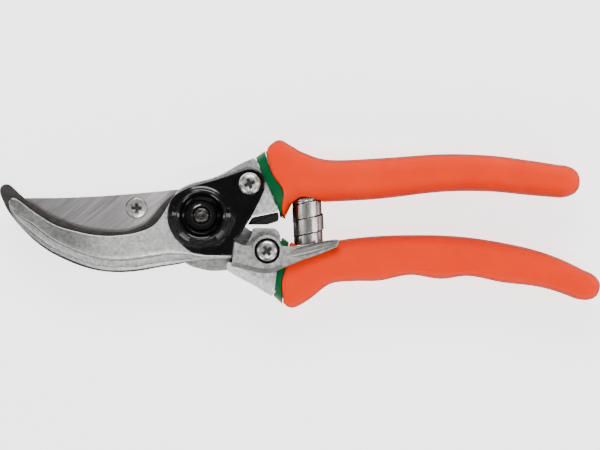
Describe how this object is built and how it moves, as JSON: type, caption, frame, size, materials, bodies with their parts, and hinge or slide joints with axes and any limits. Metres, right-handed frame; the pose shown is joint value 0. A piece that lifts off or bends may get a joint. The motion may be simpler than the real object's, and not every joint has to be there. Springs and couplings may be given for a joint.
{
  "type": "pruning shears",
  "caption": "Bypass pruning shears with forged handles, hooked counter blade, screwed-on blade, thumb catch, volute spring and dipped grips.",
  "frame": {"origin": "on the pivot's axis, at the back face of the pivot bolt's head, on which the shears lie", "axes": "+X from the hook's tip along the handles, +Y towards the upper handle, +Z out of the front along the pivot"},
  "size_m": [0.21, 0.0588, 0.0201],
  "materials": {
    "forged_aluminium": "forged and polished, satin",
    "blade_steel": "ground",
    "dark_steel": "blackened steel",
    "zinc_plate": "bright zinc plate",
    "black_gloss": "gloss black",
    "cast_catch": "fine matt die casting",
    "spring_chrome": "bright",
    "black_rubber": "matt",
    "green_dip": "semi-gloss dipped vinyl",
    "orange_dip": "semi-gloss dipped vinyl"
  },
  "bodies": {
    "blade_side": {"blade_arm": "forged_aluminium", "blade": "blade_steel", "blade_screw": "zinc_plate", "pivot_bolt": "dark_steel", "catch_screw": "zinc_plate", "catch_washer": "zinc_plate", "lower_spring_peg": "zinc_plate", "volute_spring": "spring_chrome", "lower_band": "green_dip", "lower_grip": "orange_dip"},
    "hook_side": {"hook_arm": "forged_aluminium", "hook_plate": "dark_steel", "hook_rivet_1": "zinc_plate", "hook_rivet_2": "zinc_plate", "pivot_nut": "dark_steel", "cover_plate": "black_gloss", "cover_screw": "zinc_plate", "bumper": "black_rubber", "upper_spring_peg": "zinc_plate", "upper_band": "green_dip", "upper_grip": "orange_dip"},
    "catch": {"catch": "cast_catch"}
  },
  "joints": [
    {"name": "jaw_pivot", "type": "hinge", "parent": "blade_side", "child": "hook_side", "pos_m": [0, 0, 0], "axis": [0, 0, 1], "range_deg": [0, 30], "deforming": ["volute_spring"]},
    {"name": "catch_pivot", "type": "hinge", "parent": "blade_side", "child": "catch", "pos_m": [0.0229, -0.01235, 0], "axis": [0, 0, 1], "range_deg": [0, 27]}
  ]
}
